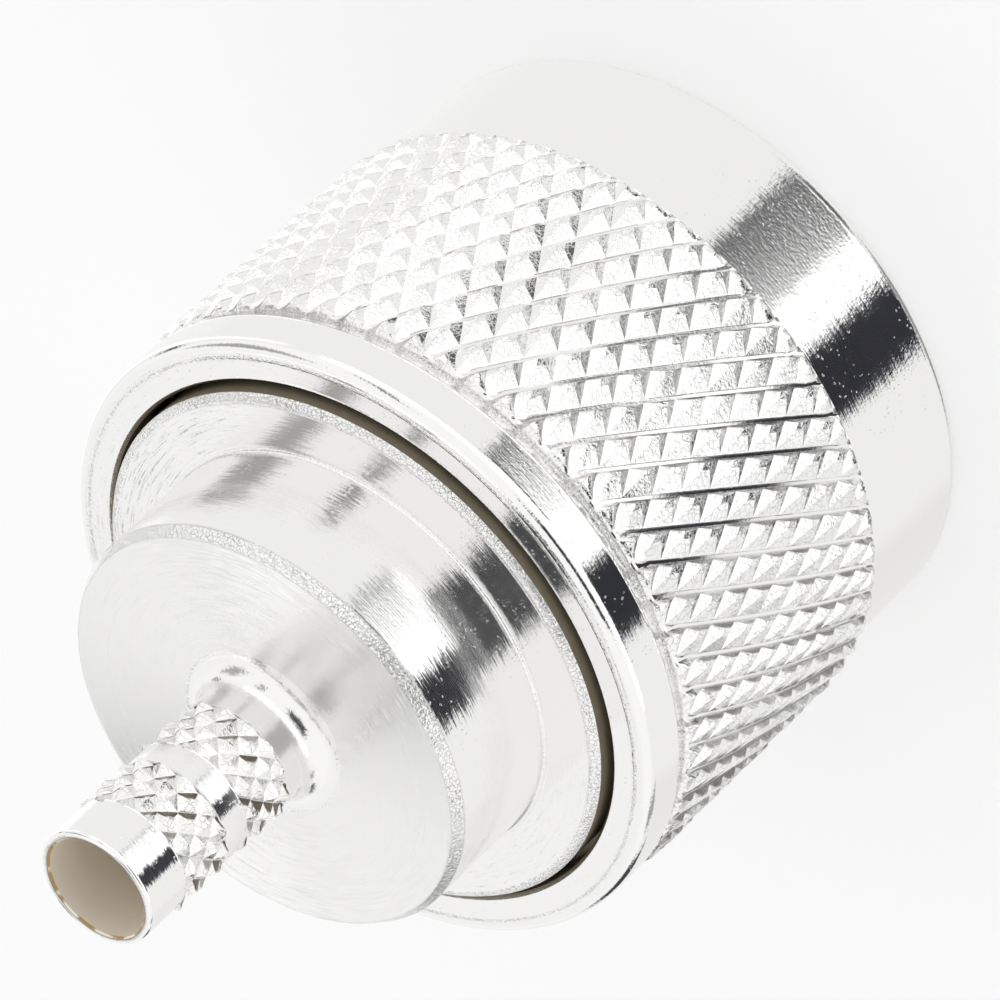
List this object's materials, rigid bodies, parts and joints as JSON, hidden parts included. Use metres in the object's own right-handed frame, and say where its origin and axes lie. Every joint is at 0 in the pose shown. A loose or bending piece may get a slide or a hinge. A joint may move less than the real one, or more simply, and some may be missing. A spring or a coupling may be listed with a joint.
{
  "type": "n type connector",
  "caption": "Male threaded coaxial plug with a diamond-knurled coupling nut that spins on its body, and a knurled stem for a crimped cable.",
  "frame": {"origin": "centre of the coupling nut's front face, on which the plug stands", "axes": "+Z along the plug's axis, from the mating end to the cable end"},
  "size_m": [0.0206, 0.0206, 0.0282],
  "materials": {
    "nickel_nut": "bright nickel plate on brass",
    "nickel_body": "bright nickel plate on brass",
    "nickel_sleeve": "nickel plate on spring bronze",
    "bronze": "plain spring bronze",
    "gold": "gold plate on brass",
    "silicone": "matte red silicone",
    "ptfe": "white PTFE"
  },
  "bodies": {
    "nut": {"coupling_nut": "nickel_nut"},
    "plug": {"plug_body": "nickel_body", "outer_contact": "nickel_sleeve", "retaining_ring": "bronze", "front_gasket": "silicone", "front_insulator": "ptfe", "rear_insulator": "ptfe", "contact_pin": "gold"}
  },
  "joints": [
    {"name": "nut_swivel", "type": "hinge", "parent": "nut", "child": "plug", "pos_m": [0, 0, 0.0142], "axis": [0, 0, 1], "continuous": true}
  ]
}
